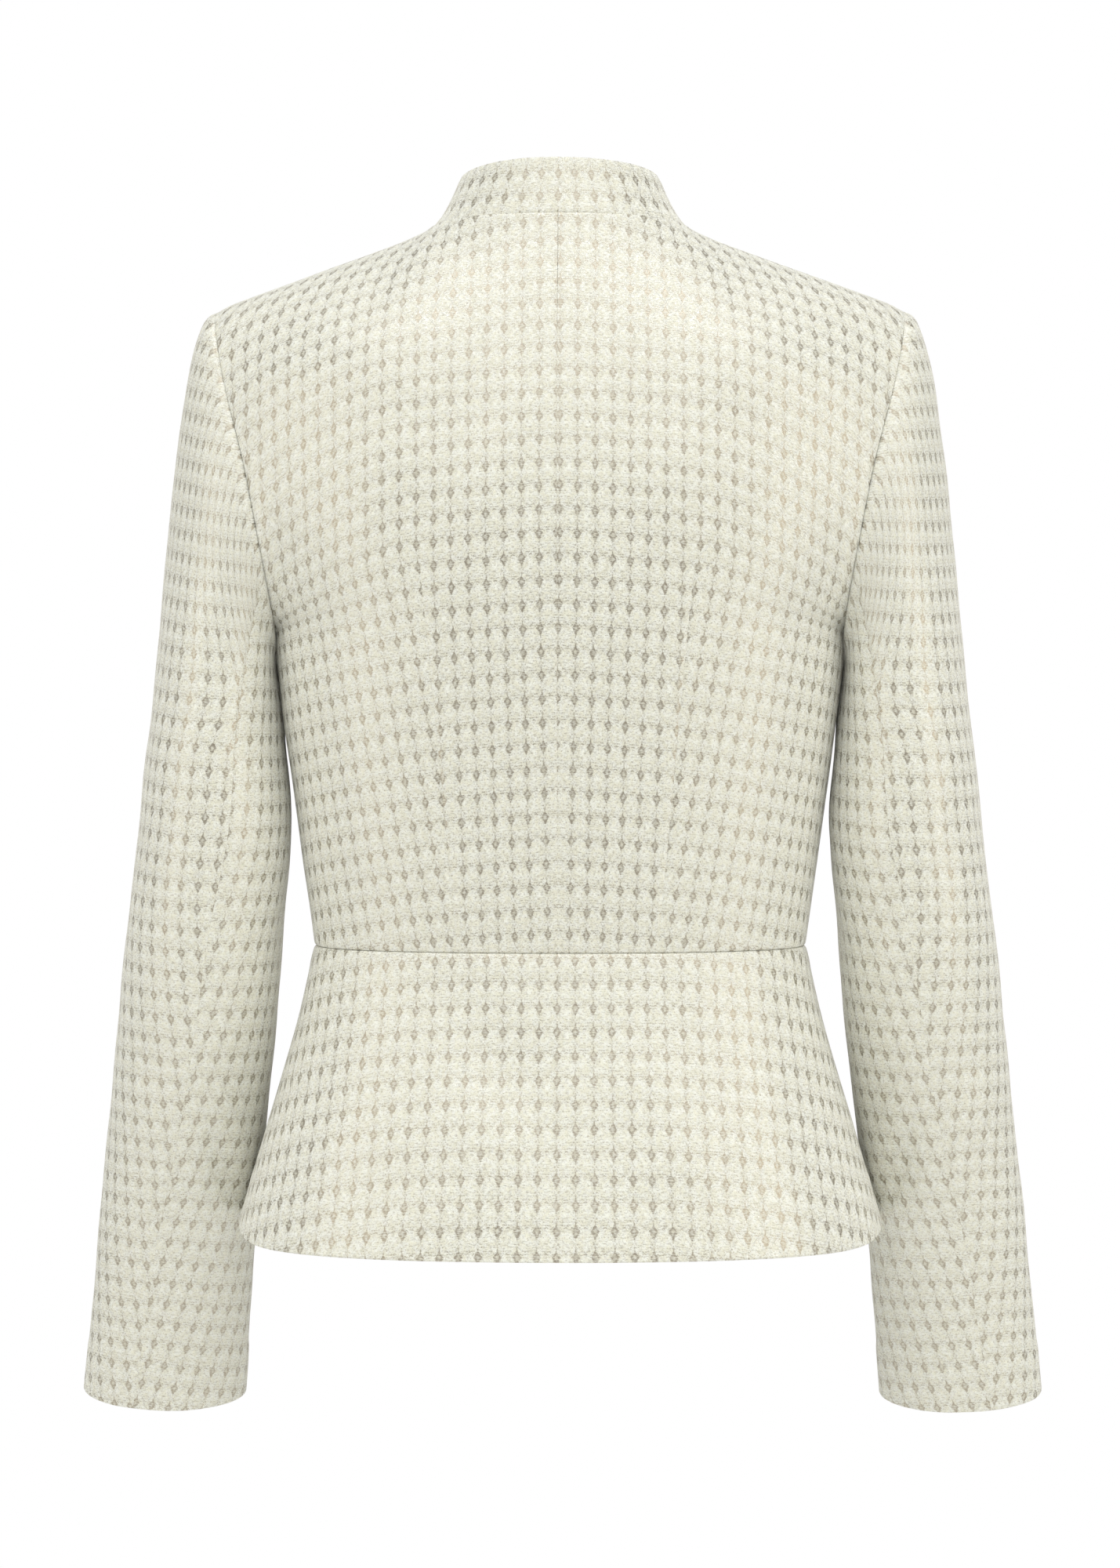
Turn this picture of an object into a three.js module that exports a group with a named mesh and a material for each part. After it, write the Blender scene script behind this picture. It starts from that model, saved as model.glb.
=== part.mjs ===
// Fitted mandarin-collar jacket with a flared peplum: hollow, open and in its worn shape.
// Millimetres. +X is the wearer's left, -Y the front and +Z up. The origin is the middle of the
// neck seam, where the wearer's neck and shoulders hold the jacket up.
import * as THREE from 'three';

// ---- Cloth ----
const CLOTH_THICKNESS = 1.6;
const SEAM_GAP = 0.3;
const CREAM = { color: 0xe4e3d3, roughness: 0.85, metalness: 0.0 };

// A list of rows with named columns.
function table(columns, rows) {
  const names = columns.split(' ');
  return rows.map((row) => Object.fromEntries(names.map((name, i) => [name, row[i]])));
}

// ---- Bodice ----
// A row is one level of a half bodice, from its centre line round to its side edge.
// centreZ and edgeZ: its height at both ends.   depth: how far its centre lies from the side plane.
// edgeX and edgeY: its end in plan.             wrap: degrees it turns through.
// fullness: extra roundness half way round.
const BACK_ROWS = table('name centreZ edgeZ depth edgeX edgeY wrap fullness', [
  ['waist', -407, -405, 84, 138.5, 0, 90, 0.045],
  ['midriff', -330, -330, 92, 149, 0, 90, 0.045],
  ['chest', -236, -236, 101, 161, 0, 90, 0.035],
  ['scye', -206, -219, 102.5, 160, 34, 74, 0.02],
  ['blade', -165, -184, 102, 165, 50, 60, 0.01],
  ['back', -118, -142, 97, 173.5, 51, 52, 0.01],
  ['yoke', -62, -92, 85, 186.5, 37, 50, 0.015],
]);
const FRONT_ROWS = table('name centreZ edgeZ depth edgeX edgeY wrap fullness', [
  ['waist', -407, -405, 103, 138.5, 0, 90, 0.03],
  ['midriff', -330, -330, 114, 149, 0, 90, 0.03],
  ['chest', -240, -236, 125, 161, 0, 90, 0.03],
  ['scye', -210, -219, 125, 157, 33, 74, 0.02],
  ['bust', -176, -184, 119, 159, 49, 62, 0.01],
  ['breast', -140, -142, 105, 168, 50, 54, 0.01],
  ['collarbone', -104, -92, 85, 184, 37, 50, 0.01],
]);
// Steps between one row and the next, the last ones over the shoulder.
const ROW_STEPS = [2, 2, 2, 2, 2, 2, 4];
// The armhole starts at the chest row, and the bend there stays close to the side edge.
const CHEST_ROW = 2;
const UNDERARM_BEND = 8;

// The neck seam and the shoulder seam close the top of both halves.
const NECK = { sideX: 71, sideY: 7, backY: 61, backZ: 1, frontY: -66, frontZ: -72 };
const SHOULDER = { pointX: 195, pointY: 0, bendX: 95, bendZ: -11.5, slope: 0.355, rise: 2.2 };
// The neck seam takes this share of the columns.
const NECK_SHARE = 0.5;
const NECK_COLUMNS = 7;
const NECK_CROWDING = 0.5;
const SHOULDER_COLUMNS = 6;
const BODICE_COLUMNS = NECK_COLUMNS + SHOULDER_COLUMNS;
// Direction of the cloth where it reaches the top: up at the centre of the neck and level over the
// shoulder, leaning in towards the neck by a share that dies away at the shoulder point.
const BACK_NECK_LEAN = new THREE.Vector3(0, -0.3, 0.95);
const FRONT_NECK_LEAN = new THREE.Vector3(0, 0.45, 0.89);
const SHOULDER_LEAN_IN = 0.35;
const SHOULDER_PULL = 1.1;
// Soft fullness that the darts give over the bust and the shoulder blades.
const BUST = { x: 84, z: -226, out: 9, widthX: 42, widthZ: 56 };
const BLADE = { x: 84, z: -140, out: 3, widthX: 48, widthZ: 60 };

// ---- Peplum ----
// lift: how late the level of a row changes from its centre height to its edge height.
const PEPLUM_BACK_ROWS = table('name centreZ edgeZ depth edgeX edgeY wrap fullness lift', [
  ['waist', -407, -405, 84, 138.5, 0, 90, 0.045, 2],
  ['hip', -456, -450, 94, 149, 0, 90, 0.045, 2],
  ['seat', -515, -506, 109, 165.5, 0, 90, 0.04, 2],
  ['hem', -572, -560, 121, 181, 0, 90, 0.035, 6],
]);
const PEPLUM_FRONT_ROWS = table('name centreZ edgeZ depth edgeX edgeY wrap fullness lift', [
  ['waist', -407, -405, 103, 138.5, 0, 90, 0.03, 2],
  ['belly', -452, -450, 108, 149, 0, 90, 0.02, 2],
  ['lap', -507, -506, 114, 165.5, 0, 90, 0.01, 2],
  ['hem', -558, -560, 120, 181, 0, 90, 0, 2],
]);
const PEPLUM_STEPS = [2, 2, 2];

// ---- Collar ----
const COLLAR_TOP = { sideX: 55.5, sideY: 3, sideZ: 26.5, backY: 54, backZ: 32.5, frontY: -62, frontZ: -43 };
const COLLAR_FLARE = 0.55;
const COLLAR_STEPS = 3;

// ---- Sleeve ----
// A ring is one level of the left sleeve. x, y, z: its middle.   across and deep: its half sizes.
// swing: degrees the arm leans forward there.                   level: degrees its outer edge is raised.
// backSeam and frontSeam: where the two sleeve seams lie, in degrees from the outer edge by the back.
const SLEEVE_RINGS = table('name x y z across deep swing level backSeam frontSeam', [
  ['biceps', 194.2, 0, -290, 38.8, 58, 0, 0, 113, -128],
  ['upper arm', 194.9, 1, -337, 43.2, 55, 0, 0, 107, -132],
  ['elbow', 201.4, -2, -399, 44.6, 50.5, 5, 0.5, 98, -136],
  ['under elbow', 206.3, -10, -450, 45.2, 47, 10, 0.5, 93, -138],
  ['forearm', 212.8, -24, -503, 45, 43, 14, 1, 88, -140],
  ['lower forearm', 220, -42, -560, 45.4, 39.5, 15, 1, 80, -140],
  ['wrist', 225.8, -57, -615, 45.8, 36, 15, 1.5, 75, -140],
  ['cuff', 231.2, -71, -666, 46.8, 33.5, 15, 1.7, 71, -140],
]);
const CAP_STEPS = 5;
const ARMHOLE_BACK_SEAM = 135;
const ARMHOLE_FRONT_SEAM = -120;
const UPPER_COLUMNS = 17;
const UNDER_COLUMNS = 7;
// How the sleeve leaves the armhole, from the shoulder point (at 0) to the underarm (at 180).
const SLEEVE_HEAD = table('at out back down', [
  [0, 66, 0, 14],
  [45, 60, 18, 36],
  [90, 46, 20, 66],
  [135, 16, 12, 74],
  [180, -6, 0, 60],
]);
// The folded seam keeps the sleeve a little way out of the armhole, most of all at the underarm.
const ARMHOLE_OFFSET = { shoulder: 0.3, underarm: 1.6 };

// ---- Curves ----
const radians = THREE.MathUtils.degToRad;
const mix = THREE.MathUtils.lerp;

function bump(distance, width) {
  return Math.exp(-((distance / width) ** 2));
}

// Value along a chain of points at common knots, with given or worked-out slopes.
function along(points, knots, knot, slopes) {
  let k = 0;
  while (k < knots.length - 2 && knot > knots[k + 1]) k += 1;
  const span = knots[k + 1] - knots[k];
  const t = (knot - knots[k]) / span;
  const rise = t * t * (3 - 2 * t);
  const place = points[k].clone().lerp(points[k + 1], rise);
  place.addScaledVector(slopes[k].leaving, span * t * (1 - t) ** 2);
  return place.addScaledVector(slopes[k + 1].arriving, -span * t * t * (1 - t));
}

// Slopes for a smooth chain; sharpness from 0 to 1 at a point keeps a bend there.
function chainSlopes(points, knots, sharpness) {
  const chord = points.slice(1).map((point, k) => (
    point.clone().sub(points[k]).divideScalar(knots[k + 1] - knots[k])
  ));
  return points.map((_, k) => {
    const before = chord[Math.max(k - 1, 0)];
    const after = chord[Math.min(k, chord.length - 1)];
    const smooth = before.clone().lerp(after, 0.5);
    return {
      arriving: smooth.clone().lerp(before, sharpness[k]),
      leaving: smooth.clone().lerp(after, sharpness[k]),
    };
  });
}

// Common knots of a set of rows: the mean distance from one row to the next.
function rowKnots(rows, pointOnRow) {
  const knots = [0];
  for (let k = 1; k < rows; k += 1) {
    const gaps = [0, 0.5, 1].map((s) => pointOnRow(k, s).distanceTo(pointOnRow(k - 1, s)));
    knots.push(knots[k - 1] + (gaps[0] + gaps[1] + gaps[2]) / 3);
  }
  return knots;
}

// Levels of a mesh: each stretch between knots in its own number of steps.
function steppedLevels(knots, steps) {
  const levels = [knots[0]];
  steps.forEach((count, k) => {
    for (let i = 1; i <= count; i += 1) levels.push(mix(knots[k], knots[k + 1], i / count));
  });
  return levels;
}

// ---- Rows of the body ----
function rowPoint(row, s, backSign) {
  const wrap = radians(row.wrap);
  const full = 1 + row.fullness * Math.sin(Math.PI * s) ** 2;
  const x = row.edgeX * (Math.sin(s * wrap) / Math.sin(wrap)) * full;
  const turn = (Math.cos(s * wrap) - Math.cos(wrap)) / (1 - Math.cos(wrap));
  const y = row.edgeY + (row.depth - row.edgeY) * turn * full;
  return new THREE.Vector3(x, backSign * y, mix(row.centreZ, row.edgeZ, s ** (row.lift ?? 2)));
}

// Columns crowd towards the side of the neck, where the neck seam meets the shoulder seam: the
// share of the quarter turn at a share of the way from the centre to the side.
function neckTurn(share) {
  return share + (NECK_CROWDING * Math.sin(Math.PI * share)) / Math.PI;
}

function neckPoint(s, backSign) {
  const angle = neckTurn(s / NECK_SHARE) * (Math.PI / 2);
  const turn = Math.cos(angle);
  const x = NECK.sideX * Math.sin(angle);
  const centreY = backSign > 0 ? NECK.backY : NECK.frontY;
  const centreZ = backSign > 0 ? NECK.backZ : NECK.frontZ;
  const side = shoulderPoint(NECK_SHARE);
  return new THREE.Vector3(x, mix(side.y, centreY, turn), mix(side.z, centreZ, turn));
}

function shoulderPoint(s) {
  const share = (s - NECK_SHARE) / (1 - NECK_SHARE);
  const x = mix(NECK.sideX, SHOULDER.pointX, share);
  const rise = SHOULDER.rise * Math.max(0, (SHOULDER.bendX - x) / (SHOULDER.bendX - NECK.sideX)) ** 2;
  const z = SHOULDER.bendZ - SHOULDER.slope * (x - SHOULDER.bendX) + rise;
  return new THREE.Vector3(x, mix(NECK.sideY, SHOULDER.pointY, share), z);
}

// Direction in which a column of the cloth crosses the top edge.
function topDirection(s, backSign, neckLean) {
  const share = Math.max(0, (s - NECK_SHARE) / (1 - NECK_SHARE));
  const onSeam = Math.max(s, NECK_SHARE);
  const downSeam = shoulderPoint(onSeam + 0.01).sub(shoulderPoint(onSeam)).normalize();
  const crossing = new THREE.Vector3(0, -backSign, 0);
  crossing.addScaledVector(downSeam, -SHOULDER_LEAN_IN * (1 - share) ** 2).normalize();
  const toShoulder = THREE.MathUtils.smoothstep(s, 0, NECK_SHARE);
  return neckLean.clone().lerp(crossing, toShoulder).setLength(mix(1, SHOULDER_PULL, toShoulder));
}

// One half of the bodice front or back, as a function of s (centre to side) and knot (waist to top).
function bodiceHalf(rows, backSign, neckLean, fullness) {
  const topRow = rows.length;
  const pointOnRow = (k, s) => {
    if (k < topRow) return rowPoint(rows[k], s, backSign);
    return s < NECK_SHARE ? neckPoint(s, backSign) : shoulderPoint(s);
  };
  const knots = rowKnots(topRow + 1, pointOnRow);
  const surface = (s, knot) => {
    const points = [];
    for (let k = 0; k <= topRow; k += 1) points.push(pointOnRow(k, s));
    const sharpness = points.map((_, k) => (k === CHEST_ROW ? s ** UNDERARM_BEND : 0));
    const slopes = chainSlopes(points, knots, sharpness);
    slopes[topRow].arriving = topDirection(s, backSign, neckLean);
    const place = along(points, knots, knot, slopes);
    const lift = fullness.out * bump(place.x - fullness.x, fullness.widthX)
      * bump(place.z - fullness.z, fullness.widthZ);
    place.y += backSign * lift;
    return place;
  };
  return { surface, knots };
}

const backHalf = bodiceHalf(BACK_ROWS, 1, BACK_NECK_LEAN, BLADE);
const frontHalf = bodiceHalf(FRONT_ROWS, -1, FRONT_NECK_LEAN, BUST);

// ---- Peplum surfaces ----
function peplumHalf(rows, backSign) {
  const pointOnRow = (k, s) => rowPoint(rows[k], s, backSign);
  const knots = rowKnots(rows.length, pointOnRow);
  const surface = (s, knot) => {
    const points = rows.map((row) => rowPoint(row, Math.abs(s), backSign));
    const place = along(points, knots, knot, chainSlopes(points, knots, points.map(() => 0)));
    place.x *= s < 0 ? -1 : 1;
    return place;
  };
  return { surface, knots };
}

const peplumBack = peplumHalf(PEPLUM_BACK_ROWS, 1);
const peplumFront = peplumHalf(PEPLUM_FRONT_ROWS, -1);

// ---- Collar surface: quarters runs from 0 at the front, by the wearer's left and the back, to 4 ----
function collarRing(quarters, ring) {
  const fromCentre = quarters % 2 < 1 ? quarters % 1 : 1 - (quarters % 1);
  const half = quarters >= 1 && quarters < 3 ? 1 : -1;
  const angle = neckTurn(fromCentre) * (Math.PI / 2);
  const side = quarters <= 2 ? 1 : -1;
  const centreY = half > 0 ? ring.backY : ring.frontY;
  const centreZ = half > 0 ? ring.backZ : ring.frontZ;
  const x = side * ring.sideX * Math.sin(angle);
  const toCentre = Math.cos(angle);
  return new THREE.Vector3(x, mix(ring.sideY, centreY, toCentre), mix(ring.sideZ, centreZ, toCentre));
}

const NECK_RING = { ...NECK, sideZ: shoulderPoint(NECK_SHARE).z };

function collarSurface(quarters, height) {
  const base = collarRing(quarters, NECK_RING);
  const top = collarRing(quarters, COLLAR_TOP);
  const place = base.clone().lerp(top, height);
  const spread = COLLAR_FLARE * (Math.abs(base.x) / NECK.sideX) * height * (1 - height);
  return place.lerp(new THREE.Vector3(top.x, top.y, place.z), spread);
}

// ---- Sleeve surface ----
// The armhole, from the shoulder point (0) by the back to the underarm (180) and on by the front.
function armholePoint(degrees) {
  const half = degrees >= 0 ? backHalf : frontHalf;
  const top = half.knots[half.knots.length - 1];
  const share = Math.abs(degrees) / 180;
  const place = half.surface(1, mix(top, half.knots[CHEST_ROW], share));
  place.x += mix(ARMHOLE_OFFSET.shoulder, ARMHOLE_OFFSET.underarm, share ** 2);
  return place;
}

function headSlope(degrees, capLength) {
  const from = Math.abs(degrees);
  const last = SLEEVE_HEAD.length - 2;
  const k = Math.min(last, Math.floor(from / SLEEVE_HEAD[1].at));
  const [a, b] = [SLEEVE_HEAD[k], SLEEVE_HEAD[k + 1]];
  const share = (from - a.at) / (b.at - a.at);
  const backward = mix(a.back, b.back, share) * Math.sign(degrees);
  const slope = new THREE.Vector3(mix(a.out, b.out, share), backward, -mix(a.down, b.down, share));
  return slope.divideScalar(capLength);
}

function ringPoint(ring, degrees) {
  const angle = radians(degrees);
  const acrossStep = ring.across * Math.cos(angle);
  const deepStep = ring.deep * Math.sin(angle);
  const swing = radians(ring.swing);
  const level = radians(ring.level);
  return new THREE.Vector3(
    ring.x + acrossStep * Math.cos(level),
    ring.y + deepStep * Math.cos(swing),
    ring.z + acrossStep * Math.sin(level) - deepStep * Math.sin(swing),
  );
}

// The armhole angle runs from -180 to 180, so the under sleeve wraps past the underarm.
function wrapDegrees(degrees) {
  return degrees > 180 ? degrees - 360 : degrees;
}

const sleeveKnots = rowKnots(SLEEVE_RINGS.length + 1, (k, s) => (
  k === 0 ? armholePoint(180 * s) : ringPoint(SLEEVE_RINGS[k - 1], 180 * s)
));

// share runs from one seam to the other; turn is 0 on the upper sleeve and 1 on the under sleeve.
function sleeveSurface(share, knot, turn) {
  const degreesAt = (backSeam, frontSeam) => (
    turn === 0 ? mix(frontSeam, backSeam, share) : mix(backSeam, frontSeam + 360, share)
  );
  const headDegrees = wrapDegrees(degreesAt(ARMHOLE_BACK_SEAM, ARMHOLE_FRONT_SEAM));
  const points = [armholePoint(headDegrees)];
  SLEEVE_RINGS.forEach((ring) => points.push(ringPoint(ring, degreesAt(ring.backSeam, ring.frontSeam))));
  const slopes = chainSlopes(points, sleeveKnots, points.map(() => 0));
  slopes[0].leaving = headSlope(headDegrees, sleeveKnots[1]);
  return along(points, sleeveKnots, knot, slopes);
}

// ---- Cloth walls ----
// Outward normal of a surface, from small steps either side.
function surfaceNormal(surface, u, v, [uLow, uHigh], [vLow, vHigh], outward) {
  const uStep = (uHigh - uLow) * 1e-4;
  const vStep = (vHigh - vLow) * 1e-4;
  const alongU = surface(Math.min(u + uStep, uHigh), v).sub(surface(Math.max(u - uStep, uLow), v));
  const alongV = surface(u, Math.min(v + vStep, vHigh)).sub(surface(u, Math.max(v - vStep, vLow)));
  return alongU.cross(alongV).normalize().multiplyScalar(outward);
}

// Pulls the edge of a grid back from the seam line by half the seam gap.
function easeSeams(grid) {
  const lastColumn = grid.length - 1;
  const lastLevel = grid[0].length - 1;
  const pull = (edge, inner) => edge.add(inner.clone().sub(edge).setLength(SEAM_GAP / 2));
  for (let j = 0; j <= lastLevel; j += 1) {
    pull(grid[0][j], grid[1][j]);
    pull(grid[lastColumn][j], grid[lastColumn - 1][j]);
  }
  for (let i = 0; i <= lastColumn; i += 1) {
    pull(grid[i][0], grid[i][1]);
    pull(grid[i][lastLevel], grid[i][lastLevel - 1]);
  }
}

// A closed wall of cloth: the outer face follows the surface, the inner one lies a thickness inside.
function clothWall(name, surface, us, vs, outward) {
  const uRange = [us[0], us[us.length - 1]];
  const vRange = [vs[0], vs[vs.length - 1]];
  const outer = us.map((u) => vs.map((v) => surface(u, v)));
  const normals = us.map((u) => vs.map((v) => surfaceNormal(surface, u, v, uRange, vRange, outward)));
  easeSeams(outer);
  const vertices = [];
  const index = (i, j, inside) => 2 * (i * vs.length + j) + inside;
  outer.forEach((column, i) => column.forEach((place, j) => {
    vertices.push(...place.toArray());
    vertices.push(...place.clone().addScaledVector(normals[i][j], -CLOTH_THICKNESS).toArray());
  }));
  const triangles = [];
  const quad = (a, b, c, d) => {
    const corners = outward > 0 ? [a, b, c, a, c, d] : [a, c, b, a, d, c];
    triangles.push(...corners);
  };
  const columns = us.length - 1;
  const levels = vs.length - 1;
  for (let i = 0; i < columns; i += 1) {
    for (let j = 0; j < levels; j += 1) {
      quad(index(i, j, 0), index(i + 1, j, 0), index(i + 1, j + 1, 0), index(i, j + 1, 0));
      quad(index(i, j, 1), index(i, j + 1, 1), index(i + 1, j + 1, 1), index(i + 1, j, 1));
    }
  }
  for (let i = 0; i < columns; i += 1) {
    quad(index(i, 0, 1), index(i + 1, 0, 1), index(i + 1, 0, 0), index(i, 0, 0));
    quad(index(i, levels, 0), index(i + 1, levels, 0), index(i + 1, levels, 1), index(i, levels, 1));
  }
  for (let j = 0; j < levels; j += 1) {
    quad(index(0, j, 0), index(0, j + 1, 0), index(0, j + 1, 1), index(0, j, 1));
    quad(index(columns, j, 1), index(columns, j + 1, 1), index(columns, j + 1, 0), index(columns, j, 0));
  }
  const geometry = new THREE.BufferGeometry();
  geometry.setAttribute('position', new THREE.Float32BufferAttribute(vertices, 3));
  geometry.setIndex(triangles);
  geometry.computeVertexNormals();
  const mesh = new THREE.Mesh(geometry, new THREE.MeshStandardMaterial(CREAM));
  mesh.name = name;
  return mesh;
}

function evenSteps(from, to, count) {
  return Array.from({ length: count + 1 }, (_, i) => mix(from, to, i / count));
}

function mirrored(surface) {
  return (u, v) => {
    const place = surface(u, v);
    place.x *= -1;
    return place;
  };
}

// The left and right pieces of one pattern.
function pair(group, name, surface, us, vs, outward) {
  group.add(clothWall(`${name}_left`, surface, us, vs, outward));
  group.add(clothWall(`${name}_right`, mirrored(surface), us, vs, -outward));
}

// ---- The jacket ----
const bodiceColumns = [
  ...evenSteps(0, NECK_SHARE, NECK_COLUMNS),
  ...evenSteps(NECK_SHARE, 1, SHOULDER_COLUMNS).slice(1),
];

function addBodice(group) {
  pair(group, 'back', backHalf.surface, bodiceColumns, steppedLevels(backHalf.knots, ROW_STEPS), -1);
  pair(group, 'front', frontHalf.surface, bodiceColumns, steppedLevels(frontHalf.knots, ROW_STEPS), 1);
}

function addPeplum(group) {
  const backLevels = steppedLevels(peplumBack.knots, PEPLUM_STEPS);
  const frontLevels = steppedLevels(peplumFront.knots, PEPLUM_STEPS);
  const leftColumns = evenSteps(0, 1, BODICE_COLUMNS);
  const allColumns = evenSteps(-1, 1, 2 * BODICE_COLUMNS);
  group.add(clothWall('peplum_back', peplumBack.surface, allColumns, backLevels, 1));
  pair(group, 'peplum_front', peplumFront.surface, leftColumns, frontLevels, -1);
}

function addCollar(group) {
  const quarters = evenSteps(0, 4, 4 * NECK_COLUMNS);
  group.add(clothWall('collar', collarSurface, quarters, evenSteps(0, 1, COLLAR_STEPS), 1));
}

function addSleeves(group) {
  const steps = [CAP_STEPS, ...SLEEVE_RINGS.slice(1).map(() => 1)];
  const levels = steppedLevels(sleeveKnots, steps);
  const upper = (share, knot) => sleeveSurface(share, knot, 0);
  const under = (share, knot) => sleeveSurface(share, knot, 1);
  pair(group, 'upper_sleeve', upper, evenSteps(0, 1, UPPER_COLUMNS), levels, -1);
  pair(group, 'under_sleeve', under, evenSteps(0, 1, UNDER_COLUMNS), levels, -1);
}

const jacket = new THREE.Group();
addBodice(jacket);
addPeplum(jacket);
addCollar(jacket);
addSleeves(jacket);

export default jacket;
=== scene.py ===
import math

import bpy
import numpy as np
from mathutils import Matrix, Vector


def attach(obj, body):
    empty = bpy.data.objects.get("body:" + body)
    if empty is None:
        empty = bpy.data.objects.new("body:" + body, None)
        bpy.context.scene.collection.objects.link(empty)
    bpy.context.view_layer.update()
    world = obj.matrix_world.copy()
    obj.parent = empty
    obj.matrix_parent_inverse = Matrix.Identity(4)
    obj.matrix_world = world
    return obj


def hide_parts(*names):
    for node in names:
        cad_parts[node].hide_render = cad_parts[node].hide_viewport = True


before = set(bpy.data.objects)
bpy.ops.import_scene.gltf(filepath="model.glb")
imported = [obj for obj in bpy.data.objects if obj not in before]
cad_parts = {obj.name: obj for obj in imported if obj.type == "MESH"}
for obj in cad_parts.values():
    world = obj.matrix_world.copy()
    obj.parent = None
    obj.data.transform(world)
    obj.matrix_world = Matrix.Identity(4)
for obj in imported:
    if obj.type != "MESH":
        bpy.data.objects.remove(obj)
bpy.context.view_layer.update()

# ==== The back ====
# Two mirrored halves of cream diamond jacquard, sewn together down the centre back from the neck
# seam to the waist seam. One long dart in each takes the waist in and runs out under the shoulder
# blade. All sizes are in millimetres until a piece is made.


def table(columns, rows):
    """Rows of values under named columns."""
    names = columns.split()
    return [dict(zip(names, row)) for row in rows]


# The middle of the waist seam is this far below the neck seam.
WAIST_Z = -407
# A row is one level of a half bodice, from its centre line round to its side edge. It bends round
# by wrap degrees, and fullness is how much it swells on the way.
ROW = "centre_z edge_z depth edge_x edge_y wrap fullness"
BACK_ROWS = table(ROW, [
    (WAIST_Z, -405, 84, 138.5, 0, 90, 0.045),
    (-330, -330, 92, 149, 0, 90, 0.045),
    (-236, -236, 101, 161, 0, 90, 0.035),
    (-206, -219, 102.5, 160, 34, 74, 0.02),
    (-165, -184, 102, 165, 50, 60, 0.01),
    (-118, -142, 97, 173.5, 51, 52, 0.01),
    (-62, -92, 85, 186.5, 37, 50, 0.015),
])
# A row without a lift of its own climbs to its edge by this power of the way round.
LIFT = 2
# The row where the bottom of the armhole is, and how sharply the side edge turns there.
CHEST_ROW = 2
UNDERARM_BEND = 8
# The neck seam and the shoulder seam, and how the cloth crosses them.
NECK = {"side_x": 71, "side_y": 7, "back_y": 61, "back_z": 1, "front_y": -66, "front_z": -72}
SHOULDER = {"point_x": 195, "point_y": 0, "bend_x": 95, "bend_z": -11.5, "slope": 0.355, "rise": 2.2}
NECK_SHARE = 0.5
NECK_CROWDING = 0.5
SHOULDER_LEAN_IN = 0.35
SHOULDER_PULL = 1.1
BACK_NECK_LEAN = (0, -0.3, 0.95)
# The soft swell over a shoulder blade.
BLADE = {"x": 84, "z": -140, "out": 3, "width_x": 48, "width_z": 60}

MM_PER_METRE = 1000
# The size of a cell of the finished cloth, and its thickness.
CELL = 2.3
CLOTH = 1.5
# A plain seam dips this deep and this wide. A drawn-in one also has a wide shallow valley.
SEAM_DIP = 0.75
SEAM_WIDTH = 2.6
VALLEY_WIDTH = 7
# Cloth that puffs up beside a seam rises and falls between these distances from it.
PUFF_RISES = (0, 6)
PUFF_FALLS = (8, 15)
# A folded edge is rounded this fully, curls in this wide, and ends inside in a soft step.
ROUNDING = 0.92
CURL_WIDTH = 3.0
TURNED_STEP = (-2, 3)
# Folds and unevenness come to their full size this far from a seam.
CALM_WIDTH = 9
# Half the gap between neighbouring plain solids, less a hair.
REACH = 0.13
# A point this near the middle of the body lies on the centre line.
ON_CENTRE = 0.5


def mix(a, b, share):
    return a + (b - a) * share


def smoothstep(value, low, high):
    t = np.clip((value - low) / (high - low), 0, 1)
    return t * t * (3 - 2 * t)


def unit(vectors):
    return vectors / np.linalg.norm(vectors, axis=-1, keepdims=True)


def row_points(rows, s, back):
    """Each row's point at shares s of the way from its centre to its edge: rows, points, 3."""
    made = []
    for row in rows:
        wrap = math.radians(row["wrap"])
        full = 1 + row["fullness"] * np.sin(np.pi * s) ** 2
        x = row["edge_x"] * np.sin(s * wrap) / math.sin(wrap) * full
        turn = (np.cos(s * wrap) - math.cos(wrap)) / (1 - math.cos(wrap))
        y = row["edge_y"] + (row["depth"] - row["edge_y"]) * turn * full
        z = mix(row["centre_z"], row["edge_z"], s ** row.get("lift", LIFT))
        made.append(np.stack([x, back * y, z], -1))
    return np.array(made)


def shoulder_points(s):
    share = (s - NECK_SHARE) / (1 - NECK_SHARE)
    x = mix(NECK["side_x"], SHOULDER["point_x"], share)
    over = np.maximum(0, (SHOULDER["bend_x"] - x) / (SHOULDER["bend_x"] - NECK["side_x"]))
    z = SHOULDER["bend_z"] - SHOULDER["slope"] * (x - SHOULDER["bend_x"]) + SHOULDER["rise"] * over**2
    return np.stack([x, mix(NECK["side_y"], SHOULDER["point_y"], share), z], -1)


NECK_SIDE_Z = float(shoulder_points(np.array([NECK_SHARE]))[0, 2])


def neck_ring(from_centre, ring, back):
    """A point of a neck ring at a share of the quarter turn from the centre to the side."""
    share = from_centre + NECK_CROWDING * np.sin(np.pi * from_centre) / np.pi
    turn = np.cos(share * np.pi / 2)
    half = "back" if back > 0 else "front"
    x = ring["side_x"] * np.sin(share * np.pi / 2)
    y = mix(ring["side_y"], ring[f"{half}_y"], turn)
    return np.stack([x, y, mix(ring["side_z"], ring[f"{half}_z"], turn)], -1)


NECK_RING = dict(NECK, side_z=NECK_SIDE_Z)


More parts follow.
